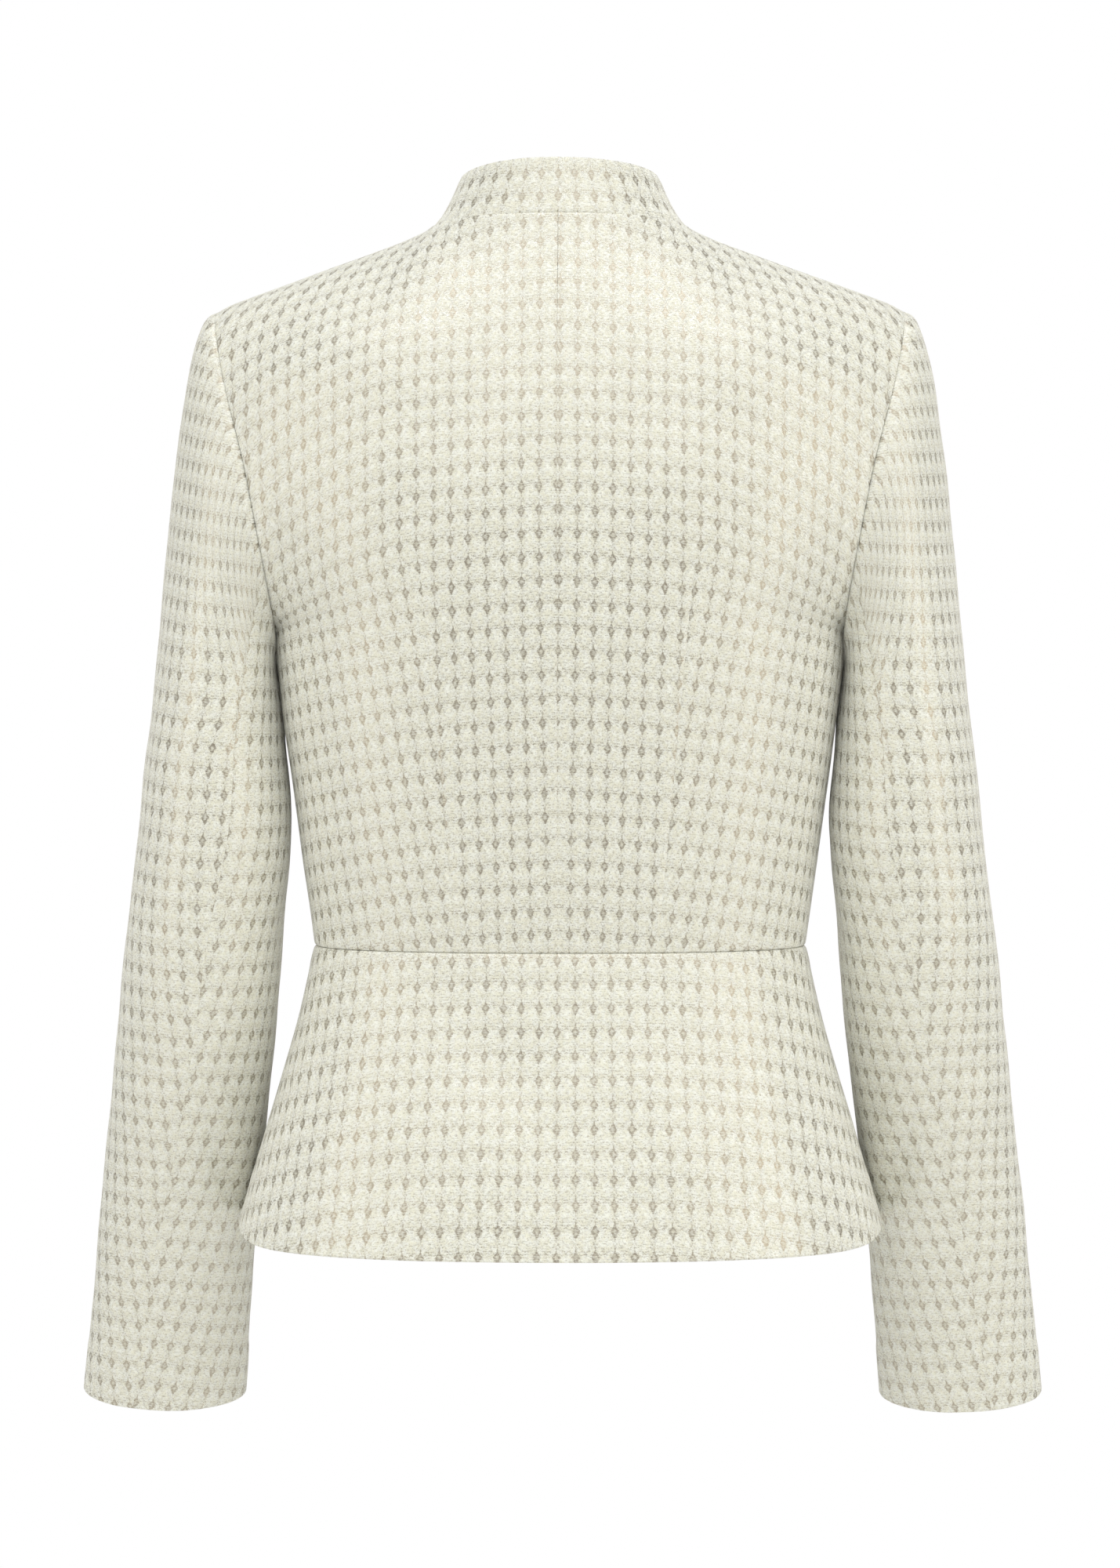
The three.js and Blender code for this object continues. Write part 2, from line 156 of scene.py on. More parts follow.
def top_direction(s, back, neck_lean):
    """How the cloth crosses the neck seam and the shoulder seam."""
    share = np.maximum(0, (s - NECK_SHARE) / (1 - NECK_SHARE))
    on_seam = np.maximum(s, NECK_SHARE)
    a_little = 0.01
    down_seam = unit(shoulder_points(on_seam + a_little) - shoulder_points(on_seam))
    crossing = np.array([0, -back, 0]) - SHOULDER_LEAN_IN * (1 - share[:, None]) ** 2 * down_seam
    to_shoulder = smoothstep(s, 0, NECK_SHARE)[:, None]
    leaning = mix(np.array(neck_lean), unit(crossing), to_shoulder)
    return unit(leaning) * mix(1, SHOULDER_PULL, to_shoulder)


def smooth_columns(points, knots, levels, bend=None, leaving=None, arriving=None):
    """Smooth lines through the rows of points, read at one level for each column."""
    chord = np.diff(points, axis=0) / np.diff(knots)[:, None, None]
    before = np.concatenate([chord[:1], chord])
    after = np.concatenate([chord, chord[-1:]])
    bend = np.zeros(points.shape[:2]) if bend is None else bend
    middle = (before + after) / 2
    out = middle + (after - middle) * bend[..., None]
    into = middle + (before - middle) * bend[..., None]
    if leaving is not None:
        out[0] = leaving
    if arriving is not None:
        into[-1] = arriving
    k = np.clip(np.searchsorted(knots, levels, side="left") - 1, 0, len(knots) - 2)
    column = np.arange(points.shape[1])
    span = np.diff(knots)[k][:, None]
    t = ((levels - knots[k])[:, None]) / span
    place = mix(points[k, column], points[k + 1, column], t * t * (3 - 2 * t))
    place = place + out[k, column] * span * t * (1 - t) ** 2
    return place - into[k + 1, column] * span * t * t * (1 - t)


def row_knots(points):
    gaps = np.linalg.norm(np.diff(points, axis=0), axis=-1).mean(axis=1)
    return np.concatenate([[0], np.cumsum(gaps)])


def bump(distance, width):
    return np.exp(-((distance / width) ** 2))


def bodice_half(rows, back, neck_lean, swell):
    """The smooth surface of a half front or back, and its knots from the waist to the top."""

    def chain(s):
        on_neck = neck_ring(np.minimum(s / NECK_SHARE, 1), NECK_RING, back)
        top = np.where((s < NECK_SHARE)[:, None], on_neck, shoulder_points(np.maximum(s, NECK_SHARE)))
        return np.concatenate([row_points(rows, s, back), top[None]])

    knots = row_knots(chain(np.array([0, 0.5, 1])))

    def surface(s, levels):
        points = chain(s)
        bend = np.zeros(points.shape[:2])
        bend[CHEST_ROW] = s**UNDERARM_BEND
        arriving = top_direction(s, back, neck_lean)
        place = smooth_columns(points, knots, levels, bend, arriving=arriving)
        out = swell["out"] * bump(place[:, 0] - swell["x"], swell["width_x"])
        place[:, 1] += back * out * bump(place[:, 2] - swell["z"], swell["width_z"])
        return place

    return surface, knots


back_surface, back_knots = bodice_half(BACK_ROWS, 1, BACK_NECK_LEAN, BLADE)

# Steps from a seam or an edge inwards, close together so that it can roll, then even cells.
EDGE_STEPS = (0, 0.25, 0.6, 1.1, 1.8, 2.7, 4.0)


def shares(length, fine_start=True):
    """Where the lines of a grid run, as shares of a length of cloth."""
    start = list(EDGE_STEPS) if fine_start else [0]
    end = [length - step for step in reversed(EDGE_STEPS)]
    count = max(2, round((end[0] - start[-1]) / CELL))
    return np.array(start[:-1] + list(np.linspace(start[-1], end[0], count + 1)) + end[1:]) / length


def grid_lengths(grid, axis):
    """Distance along the grid's lines from their start, in that axis."""
    steps = np.linalg.norm(np.diff(grid, axis=axis), axis=-1)
    zero = np.zeros_like(np.take(steps, [0], axis=axis))
    return np.concatenate([zero, np.cumsum(steps, axis=axis)], axis=axis)


def grid_normals(grid, outward):
    across = np.gradient(grid, axis=0)
    up = np.gradient(grid, axis=1)
    return unit(np.cross(across, up)) * outward


# A ridge runs from one point to another, on the body or on the cloth. It has died away this share
# of its whole run beyond them.
RIDGE = "from_x from_z to_x to_z width height"
RIDGE_FADE = 0.1


def soft_ridges(p, q, rows):
    """Long soft ridges and troughs that fade out at both ends."""
    relief = np.zeros_like(p)
    for row in rows:
        dx, dz = row["to_x"] - row["from_x"], row["to_z"] - row["from_z"]
        length = math.hypot(dx, dz)
        along = ((p - row["from_x"]) * dx + (q - row["from_z"]) * dz) / length**2
        off = ((p - row["from_x"]) * dz - (q - row["from_z"]) * dx) / length
        fade = np.sin(np.pi * np.clip(along * (1 - 2 * RIDGE_FADE) + RIDGE_FADE, 0, 1)) ** 1.5
        relief += row["height"] * bump(off, row["width"]) * fade
    return relief


CROSSING_WAVES = 7


def uneven(p, q, seed, size, height):
    """A gentle unevenness of sewn cloth, from a few crossing waves."""
    chance = np.random.default_rng(seed)
    relief = np.zeros(np.broadcast(p, q).shape)
    for _ in range(CROSSING_WAVES):
        angle, phase = chance.uniform(0, np.pi), chance.uniform(0, 2 * np.pi)
        wave = size * chance.uniform(0.7, 1.9)
        relief += np.sin(2 * np.pi * (p * math.cos(angle) + q * math.sin(angle)) / wave + phase)
    return relief * height / CROSSING_WAVES**0.5


def edge_distances(grid):
    """How far each point is from the four edges of its piece, along the grid."""
    across, up = grid_lengths(grid, 0), grid_lengths(grid, 1)
    return {"start": across, "end": across[-1:] - across, "low": up, "high": up[:, -1:] - up}


def edge_relief(grid, edges):
    """How far the outer and the inner face fall towards each other at the four edges of a piece.

    A seam has a dip of a width, a valley, and a pad of cloth puffed up beside it. A fold has a pad
    as wide as the cloth turned in, and may curl."""
    outer = np.zeros(grid.shape[:2])
    inner = np.zeros(grid.shape[:2])
    away = edge_distances(grid)
    for side, kind in edges.items():
        d = away[side]
        if kind["kind"] == "seam":
            near = np.clip(1 - d / kind.get("width", SEAM_WIDTH), 0, 1)
            outer -= kind.get("dip", SEAM_DIP) * near**2
            outer -= kind.get("valley", 0) * bump(d, VALLEY_WIDTH)
            outer += kind.get("pad", 0) * smoothstep(d, *PUFF_RISES) * (1 - smoothstep(d, *PUFF_FALLS))
        if kind["kind"] == "fold":
            radius = CLOTH / 2
            near = np.clip(radius - d, 0, radius)
            rolled = ROUNDING * (radius - np.sqrt(radius**2 - near**2))
            curl = kind.get("curl", 0) * bump(d, CURL_WIDTH)
            outer -= rolled + curl
            inner += rolled - curl
            step_from, step_to = (kind["turned"] + step for step in TURNED_STEP)
            outer += kind.get("pad", 0) * (1 - smoothstep(d, step_from, step_to))
    return outer, inner


def meet_neighbours(grid, edges):
    """Seam edges reach out half the gap between the plain solids, less the share that stays open."""
    reached = grid.copy()
    ends = {
        "start": (np.s_[0], np.s_[2]), "end": (np.s_[-1], np.s_[-3]),
        "low": (np.s_[:, 0], np.s_[:, 2]), "high": (np.s_[:, -1], np.s_[:, -3]),
    }
    for side, kind in edges.items():
        if kind["kind"] == "seam":
            edge, behind = ends[side]
            reach = REACH * (1 - np.ravel(kind.get("open", 0)))
            reached[edge] += unit(grid[edge] - grid[behind]) * reach[:, None]
    return reached


def calm_seams(grid, edges):
    """Folds and unevenness die away at the seams, so that neighbouring pieces meet."""
    away = edge_distances(grid)
    calm = np.ones(grid.shape[:2])
    for side, kind in edges.items():
        if kind["kind"] == "seam":
            calm *= smoothstep(away[side], 0, CALM_WIDTH)
    return calm


def cloth_piece(name, grid, cut, edges, relief, outward, mirrored=False, dart=None):
    """A closed wall of cloth from a grid of its outer face, with the place of each point on the flat
    cloth kept as the piece's UV map, in metres."""
    columns, levels = grid.shape[:2]
    normals = grid_normals(grid, outward)
    normals[np.abs(grid[..., 0]) < ON_CENTRE, 0] = 0
    outer_fall, inner_rise = edge_relief(grid, edges)
    relief = relief * calm_seams(grid, edges)
    grid = meet_neighbours(grid, edges)
    outer = grid + normals * (relief + outer_fall)[..., None]
    inner = grid + normals * (relief - CLOTH + inner_rise)[..., None]
    points = np.concatenate([outer.reshape(-1, 3), inner.reshape(-1, 3)])
    if mirrored:
        points[:, 0] *= -1
        outward = -outward
    i, j = np.meshgrid(np.arange(columns - 1), np.arange(levels - 1), indexing="ij")
    corner = (i * levels + j).ravel()
    quads = np.stack([corner, corner + levels, corner + levels + 1, corner + 1], -1)
    inside = quads[:, ::-1] + columns * levels

    def rim(one, two):
        return np.stack([one, two, two + columns * levels, one + columns * levels], -1)

    start, end = np.arange(levels), (columns - 1) * levels + np.arange(levels)
    low, high = np.arange(columns) * levels, np.arange(columns) * levels + levels - 1
    rims = [
        rim(start[:-1], start[1:]), rim(end[1:], end[:-1]),
        rim(low[1:], low[:-1]), rim(high[:-1], high[1:]),
    ]
    faces = np.concatenate([quads, inside, *rims])
    # The cloth taken into a dart is missing between the two faces on either side of its seam.
    flat = np.concatenate([cut.reshape(-1, 2)] * 2)[faces]
    if dart is not None:
        beyond = np.zeros(len(faces), bool)
        beyond[: len(quads)] = (i >= dart["column"]).ravel()
        beyond[len(quads) : 2 * len(quads)] = (i >= dart["column"]).ravel()
        flat[beyond, :, 0] += dart["intake"][faces[beyond] % levels]
    if outward < 0:
        faces, flat = faces[:, ::-1], flat[:, ::-1]
    mesh = bpy.data.meshes.new(name)
    mesh.vertices.add(len(points))
    mesh.vertices.foreach_set("co", (points / MM_PER_METRE).astype(np.float32).ravel())
    mesh.loops.add(faces.size)
    mesh.loops.foreach_set("vertex_index", faces.astype(np.int32).ravel())
    mesh.polygons.add(len(faces))
    mesh.polygons.foreach_set("loop_start", np.arange(0, faces.size, 4, dtype=np.int32))
    smooth = np.ones(len(faces), bool)
    smooth[2 * len(quads) :] = False
    mesh.polygons.foreach_set("use_smooth", smooth)
    mesh.update(calc_edges=True)
    layer = mesh.uv_layers.new(name="cut")
    layer.data.foreach_set("uv", (flat / MM_PER_METRE).astype(np.float32).ravel())
    piece = bpy.data.objects.new(name, mesh)
    bpy.context.scene.collection.objects.link(piece)
    return piece


# The jacquard: columns of small kite-shaped figures in metal thread on a puffed cream crepe, with
# sizes in millimetres on the flat cloth.
COLUMN_PITCH = 9.65
ROW_PITCH = 12.9
# How far a figure goes above, below and to each side of its widest point.
FIGURE = {"above": 3.6, "below": 4.8, "beside": 2.4}
# Floats of metal thread in one repeat, from the widest point of a figure. across is always taken
# both ways, up is towards the neck.
FLOATS = table("across up half_across half_up depth", [
    (0.0, 3.3, 0.28, 1.5, 0.9),
    (0.0, 5.6, 0.24, 0.4, 0.5),
    (0.55, 4.7, 0.26, 0.34, 0.45),
    (0.6, 6.6, 0.26, 0.32, 0.4),
    (0.0, -5.2, 0.26, 0.4, 0.5),
    (1.9, 1.6, 0.34, 0.34, 0.75),
    (0.95, -6.6, 0.32, 0.34, 0.7),
    (1.8, -8.0, 0.32, 0.32, 0.65),
    (2.9, 2.9, 0.46, 0.30, 0.8),
    (4.1, 2.8, 0.46, 0.28, 0.75),
    (2.6, 1.0, 0.34, 0.26, 0.6),
    (4.1, 1.4, 0.50, 0.28, 0.85),
    (4.825, 1.8, 0.50, 0.24, 0.85),
    (4.825, 0.0, 0.38, 0.30, 0.7),
    (3.1, -3.2, 0.32, 0.32, 0.6),
    (4.825, -6.4, 0.65, 0.26, 0.6),
    (3.2, 4.6, 0.34, 0.26, 0.5),
])
# The threads wander to and fro by this much in all, over about this distance.
WANDER = 0.9
WANDER_SIZE = 2.4
# The sizes of the yarn's grain and dashes, of loose specks and knots of metal thread, and of slubs.
GRAIN_SIZE = 0.5
DASH_SIZE = 1.1
DASH_STRETCH = (0.5, 1.5, 1)
SPECK_SIZE = 1.2
KNOT_SIZE = 0.9
SLUB_SIZE = 3.4
# Where soft edges begin and end: of a figure and its heart as shares of its size, of a float as
# squared shares of its own, and of a crossing thread as shares of the way between two of them.
FIGURE_EDGE = (0.75, 1.1)
HEART_EDGE = (0.25, 0.55)
FLOAT_EDGE = (0.6, 2.4)
CROSSING_EDGE = (0.01, 0.05)
# The pillows are fullest this far below the widest points of the figures.
PILLOW_BELOW = 3.6
# How high the weave stands, in metres, and what share of that turns its yarn and its flat metal.
WEAVE_HEIGHT = 0.0006
YARN_TURNS = 1.0
METAL_TURNS = 0.2
CREAM = (0.91, 0.905, 0.80, 1)
PALE_CREAM = (0.96, 0.97, 0.91, 1)
CROSSING_CREAM = (0.98, 0.98, 0.95, 1)
# The colour of the painted shade laid into the hollows of the weave.
PAINTED_HOLLOW_SHADE = (0.40, 0.38, 0.30, 1)
LOOSE_METAL = (0.80, 0.79, 0.78, 1)
FIGURE_METAL = (0.43, 0.385, 0.31, 1)
NOISE_VALUE, NOISE_COLOUR = 0, 1


def jacquard():
    """Cream crepe with metal thread, drawn on the flat cut of each piece."""
    material = bpy.data.materials.new("diamond_jacquard")
    material.use_nodes = True
    tree = material.node_tree
    tree.nodes.clear()

    def node(kind, **settings):
        made = tree.nodes.new(kind)
        for key, value in settings.items():
            setattr(made, key, value)
        return made

    def feed(made, given):
        """Each named input takes a fixed value or what comes out of another node."""
        for name, value in given.items():
            if isinstance(value, (int, float, tuple)):
                made.inputs[name].default_value = value
            else:
                tree.links.new(value, made.inputs[name])
        return made

    def wire(made, *given):
        return feed(made, dict(enumerate(given))).outputs[0]

    def calc(operation, *given, clamp=False):
        return wire(node("ShaderNodeMath", operation=operation, use_clamp=clamp), *given)

    def plus(a, b):
        return calc("ADD", a, b)

    def minus(a, b, clamp=False):
        return calc("SUBTRACT", a, b, clamp=clamp)

    def times(a, b, clamp=False):
        return calc("MULTIPLY", a, b, clamp=clamp)

    def over(a, b):
        return calc("DIVIDE", a, b)

    def most(a, b):
        return calc("MAXIMUM", a, b)

    def ramp(value, low, high, start=0.0, end=1.0):
        """Goes smoothly from start to end as a value goes from low to high."""
        made = node("ShaderNodeMapRange", interpolation_type="SMOOTHSTEP")
        return wire(made, value, float(low), float(high), float(start), float(end))

    def noise(vector, size, detail=2, output=NOISE_VALUE):
        made = node("ShaderNodeTexNoise", noise_dimensions="2D")
        return feed(made, {"Vector": vector, "Scale": 1 / size, "Detail": detail}).outputs[output]

    def blend(share, a, b):
        made = node("ShaderNodeMix", data_type="RGBA")
        return feed(made, {"Factor": share, "A": a, "B": b}).outputs["Result"]

    cut = node("ShaderNodeUVMap", uv_map="cut").outputs[0]
    scaled = node("ShaderNodeVectorMath", operation="SCALE")
    flat = feed(scaled, {0: cut, "Scale": MM_PER_METRE}).outputs[0]
    # The threads wander a little, so no two figures are quite alike.
    wander = node("ShaderNodeVectorMath", operation="MULTIPLY_ADD")
    wandered = wire(wander, noise(flat, WANDER_SIZE, output=NOISE_COLOUR), (WANDER, WANDER, 0), flat)
    parts = feed(node("ShaderNodeSeparateXYZ"), {0: wandered})
    u = minus(parts.outputs[0], WANDER / 2)
    v = minus(parts.outputs[1], WANDER / 2)

    def fold(value, pitch):
        """Distance from the nearest multiple of a pitch."""
        return minus(calc("FLOORED_MODULO", plus(value, pitch / 2), pitch), pitch / 2)

    across = calc("ABSOLUTE", fold(u, COLUMN_PITCH))
    up = fold(v, ROW_PITCH)

    def spot(row):
        """A float of thread as a soft oval."""
        dx = over(minus(across, row["across"]), row["half_across"])
        dy = over(fold(minus(v, row["up"]), ROW_PITCH), row["half_up"])
        r = plus(times(dx, dx), times(dy, dy))
        return times(ramp(r, *FLOAT_EDGE, 1, 0), row["depth"])

    grain = noise(flat, GRAIN_SIZE)
    stretched = wire(node("ShaderNodeVectorMath", operation="MULTIPLY"), flat, DASH_STRETCH)
    dashes = noise(stretched, DASH_SIZE, detail=3)
    ragged = times(minus(grain, 0.5), 0.8)
    floats = spot(FLOATS[0])
    for row in FLOATS[1:]:
        floats = most(floats, spot(row))
    # The figure: short above its widest point, long below it, with a paler heart.
    above = over(most(up, 0.0), FIGURE["above"])
    below = over(most(times(up, -1.0), 0.0), FIGURE["below"])
    reach = plus(plus(plus(above, below), over(across, FIGURE["beside"])), ragged)
    heart = ramp(reach, *HEART_EDGE, 1, 0)
    figure = minus(ramp(reach, *FIGURE_EDGE, 1, 0), times(heart, 0.5), clamp=True)
    # Metal thread shows in the figure and in its floats, broken up by the cream weft over it.
    broken = ramp(dashes, 0.44, 0.62, 1, 0.5)
    floats = times(floats, ramp(grain, 0.3, 0.5, 0.5, 1))
    drawn = most(figure, floats)
    thread = times(drawn, broken, clamp=True)
    specks = times(ramp(noise(wandered, SPECK_SIZE), 0.56, 0.64), 0.38)
    knots = times(ramp(noise(flat, KNOT_SIZE), 0.6, 0.67), 0.4)
    drawn = most(drawn, knots)
    thread = most(thread, most(specks, knots))
    # Finer cream threads cross over it from figure to figure, aslant both ways.
    along_rows, along_columns = over(v, ROW_PITCH), over(u, COLUMN_PITCH)
    slants = [
        calc("ABSOLUTE", fold(plus(calc(way, along_rows, along_columns), 0.5), 1.0))
        for way in ("ADD", "SUBTRACT")
    ]
    crossing = ramp(calc("MINIMUM", *slants), *CROSSING_EDGE, 1, 0)
    crossing = times(crossing, ramp(grain, 0.4, 0.55))
    thread = times(thread, minus(1.0, times(crossing, 0.6)))
    # Cream pillows between the figures, finely ribbed and slubbed across.
    pillow_across = calc("SINE", times(u, math.pi / COLUMN_PITCH))
    pillow_up = calc("COSINE", times(plus(v, PILLOW_BELOW), math.pi / ROW_PITCH))
    pillow = times(times(pillow_across, pillow_across), times(pillow_up, pillow_up))
    height = plus(times(pillow, 0.4), times(dashes, 0.7))
    height = plus(height, times(grain, 0.5))
    height = plus(height, times(crossing, 0.25))
    height = minus(height, times(thread, 0.2))

    def turned(share):
        """The way the surface faces, once the weave has turned it."""
        made = node("ShaderNodeBump")
        return feed(made, {"Strength": share, "Distance": WEAVE_HEIGHT, "Height": height}).outputs[0]

    # Cream yarn, a touch greener or yellower from slub to slub, with painted shade between slubs and
    # pillows.
    cream = blend(ramp(noise(flat, SLUB_SIZE), 0.35, 0.65), CREAM, PALE_CREAM)
    cream = blend(times(crossing, 0.35), cream, CROSSING_CREAM)
    # Painted shade: deepest where the dashes lie low, a little between the pillows, less on crossing
    # threads.
    painted_hollow_shade = plus(times(ramp(dashes, 0.34, 0.47, 1, 0), 0.34), times(minus(1.0, pillow), 0.08))
    painted_hollow_shade = minus(painted_hollow_shade, times(crossing, 0.2), clamp=True)
    yarn = feed(node("ShaderNodeBsdfPrincipled"), {
        "Base Color": blend(painted_hollow_shade, cream, PAINTED_HOLLOW_SHADE), "Normal": turned(YARN_TURNS),
        "Roughness": 0.85, "Diffuse Roughness": 1.0, "Specular IOR Level": 0.25,
        "Sheen Weight": 0.15, "Sheen Roughness": 0.5,
    })
    # The flat metal threads turn far less than the yarn, so they catch the light all together.
    metal = feed(node("ShaderNodeBsdfPrincipled"), {
        "Base Color": blend(ramp(drawn, 0.1, 0.45), LOOSE_METAL, FIGURE_METAL),
        "Normal": turned(METAL_TURNS), "Metallic": 1.0, "Roughness": 0.36,
    })
    woven = wire(node("ShaderNodeMixShader"), thread, yarn.outputs[0], metal.outputs[0])
    feed(node("ShaderNodeOutputMaterial"), {"Surface": woven})
    return material


jacquard_cloth = jacquard()


def finish_cloth(piece, node, flat, area):
    piece.data.materials.append(jacquard_cloth)
    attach(piece, "root")
    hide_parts(node)


# A dart's seam is a fine groove with a low ridge of pressed cloth to each side of it. grows is how
# much sooner than the dart itself they reach their full size, on the way from its tip.
DART_GROOVE = {"depth": 0.5, "width": 2.2, "grows": 4}
DART_RIDGE = {"height": 0.45, "away": 4, "width": 3.2, "grows": 1.6}
# The dart leans in on its way down. Its seam takes more cloth out the lower it gets.
BACK_DART = {"tip_x": 75, "tip_z": -190, "waist_x": 55, "intake": 30}
# Points along a line or a ring whose length is measured.
FINE_COUNT = 401


def bodice_grid(surface, knots, dart, width, length):
    """Columns from the centre to the side, one of them down the dart, at levels from waist to top."""
    levels = mix(knots[0], knots[-1], shares(length))
    fine = np.linspace(0, 1, FINE_COUNT)
    spine = np.array([surface(fine, np.full_like(fine, level)) for level in levels])
    z = spine[:, 0, 2]
    wanted = np.interp(z, [WAIST_Z, dart["tip_z"]], [dart["waist_x"], dart["tip_x"]])
    at = np.array([np.interp(x, row[:, 0], fine) for x, row in zip(wanted, spine)])
    tip = int(np.argmax(z > dart["tip_z"]))
    at[tip:] = at[tip]
    inner = shares(width * at[tip])
    outer = shares(width * (1 - at[tip]))
    s = np.concatenate([inner[:, None] * at, at + (1 - at) * outer[1:, None]])
    flat = surface(s.ravel(), np.broadcast_to(levels, s.shape).ravel())
    return flat.reshape(*s.shape, 3), len(inner) - 1


def dart_facts(grid, column, dart):
    """Which column the dart runs down and the cloth it takes in, and its relief."""
    z = grid[column, :, 2]
    share = np.clip((dart["tip_z"] - z) / (dart["tip_z"] - WAIST_Z), 0, 1)
    across = grid_lengths(grid, 0)
    off = np.abs(across - across[column])
    groove = np.clip(1 - off / DART_GROOVE["width"], 0, 1) ** 2
    relief = -DART_GROOVE["depth"] * groove * np.clip(share * DART_GROOVE["grows"], 0, 1)
    ridge = bump(off - DART_RIDGE["away"], DART_RIDGE["width"])
    relief += DART_RIDGE["height"] * ridge * np.clip(share * DART_RIDGE["grows"], 0, 1)
    return {"column": column, "intake": dart["intake"] * share}, relief


# How the cloth lies on the body, in degrees: how far the grain leans out at the centre, and how much
# more it leans within a distance from it, but only below a level and fully so after a run.
BACK_LEAN = {"centre": 1.3, "more": 1.0, "within": 60, "below": -170, "run": 60}
# How steeply the rows of figures drop at the centre, and how much more between two distances.
BACK_DROP = {"centre": 3.8, "more": 6.0, "between": (45, 110)}
# How far up the cloth the rows of figures are moved.
BACK_PHASE = -11.0
# Where a slope is added up: every half a millimetre from a centre line.
SLOPE_STEPS = np.linspace(0, 300, 601)


def ramp_up(distance, run):
    """Grows slowly over the first run, then evenly."""
    d = np.maximum(distance, 0)
    return np.where(d < run, d * d / (2 * run), d - run / 2)


def dropped(distance, degrees):
    """How far the rows of figures have dropped at a distance, from their slope at each slope step."""
    slope = np.tan(np.radians(degrees))
    drop = np.concatenate([[0], np.cumsum((slope[1:] + slope[:-1]) / 2 * np.diff(SLOPE_STEPS))])
    return np.interp(distance, SLOPE_STEPS, drop)


def back_cut(grid, first_column):
    """Where each point lies on the flat cloth: the grain runs up and down beside the centre back seam
    and the rows of figures drop away towards the sides."""
    across, up = grid_lengths(grid, 0), grid_lengths(grid, 1)
    more = BACK_LEAN["more"] * smoothstep(across, 0, BACK_LEAN["within"])
    lean = np.tan(np.radians(BACK_LEAN["centre"] + more))
    u = across + lean * ramp_up(BACK_LEAN["below"] - grid[..., 2], BACK_LEAN["run"]) - first_column
    slope = BACK_DROP["centre"] + BACK_DROP["more"] * smoothstep(SLOPE_STEPS, *BACK_DROP["between"])
    return np.stack([u, up + dropped(across, slope) + BACK_PHASE], -1)


back_grid, back_dart_column = bodice_grid(back_surface, back_knots, BACK_DART, width=195, length=420)
back_dart, back_dart_relief = dart_facts(back_grid, back_dart_column, BACK_DART)


# Depths below the neck seam between which the armhole seam changes: it sinks in beside the sleeve
# head and then deepens, its cloth stands proud as far as the underarm, and it opens in two stages.
SHOULDER_CORNER = (48, 75)
ARMHOLE_DEEPENS = (70, 150)
ARMHOLE_STANDS = (110, 190)
ARMHOLE_ENDS = (236, 262)
ARMHOLE_OPENS = ((100, 140), (200, 240))
CORNER_VALLEY = 1.5
# The middle of the neck seam is drawn in as far out as the first of these, and not at all beyond
# the second. The centre back seam comes to show between these depths.
NECK_DRAWN_IN = (24, 44)
BACK_SEAM_SHOWS = (190, 330)
WAIST_SEAM = {"kind": "seam", "dip": 0.9, "width": 1.8, "open": 1}


def armhole_edge(z):
    """The side edge of a half: a plain side seam, then an armhole that is deep below and soft on top."""
    depth = smoothstep(-z, *ARMHOLE_DEEPENS)
    low = smoothstep(-z, *ARMHOLE_STANDS) * (1 - smoothstep(-z, *ARMHOLE_ENDS))
    corner = 1 - smoothstep(-z, *SHOULDER_CORNER)
    gap = sum(0.5 * smoothstep(-z, *between) for between in ARMHOLE_OPENS)
    valley = CORNER_VALLEY * corner - 1.4 * low
    return {"kind": "seam", "dip": 0.1 + 0.4 * depth, "valley": valley, "open": gap}


def neck_seam(x):
    """The neck seam draws in at the middle of the back and is hidden by the puffed cloth beyond."""
    middle = 1 - smoothstep(np.abs(x), *NECK_DRAWN_IN)
    return {"kind": "seam", "dip": 0.05 + 0.45 * middle, "width": 1.6, "open": middle}


# The centre back seam only shows as a faint line, plainest just above the waist.
back_opening = smoothstep(-back_grid[0, :, 2], *BACK_SEAM_SHOWS)
BACK_EDGES = {
    "start": {"kind": "seam", "dip": 0.4 * back_opening, "width": 2, "open": back_opening},
    "end": armhole_edge(back_grid[-1, :, 2]),
    "low": WAIST_SEAM,
    "high": neck_seam(back_grid[:, -1:, 0]),
}
# Long soft drags of the cloth between the shoulder blades and the waist, other ones on each half.
LEFT_BACK_DRAGS = table(RIDGE, [
    (16, -88, 62, -235, 13, 1.3),
    (48, -80, 84, -190, 16, -0.9),
    (100, -110, 112, -235, 18, 0.7),
    (30, -240, 38, -395, 14, -0.6),
    (118, -250, 96, -390, 13, 0.7),
])
RIGHT_BACK_DRAGS = table(RIDGE, [
    (74, -92, 40, -222, 13, 1.2),
    (98, -105, 76, -215, 15, -0.9),
    (24, -120, 20, -240, 14, -0.5),
    (116, -150, 118, -260, 17, 0.7),
    (112, -262, 92, -398, 12, 0.6),
])
for side, drags, first_column, seed in (
    ("left", LEFT_BACK_DRAGS, 0.0, 3), ("right", RIGHT_BACK_DRAGS, 1.5, 4),
):
    relief = back_dart_relief + soft_ridges(back_grid[..., 0], back_grid[..., 2], drags)
    relief += uneven(back_grid[..., 0], back_grid[..., 2], seed, size=45, height=0.16)
    piece = cloth_piece(
        f"back_{side}_cloth", back_grid, back_cut(back_grid, first_column), BACK_EDGES, relief,
        outward=-1, mirrored=side == "right", dart=back_dart,
    )
    finish_cloth(piece, f"back_{side}", flat=(0.216, 0.443), area=0.0812)

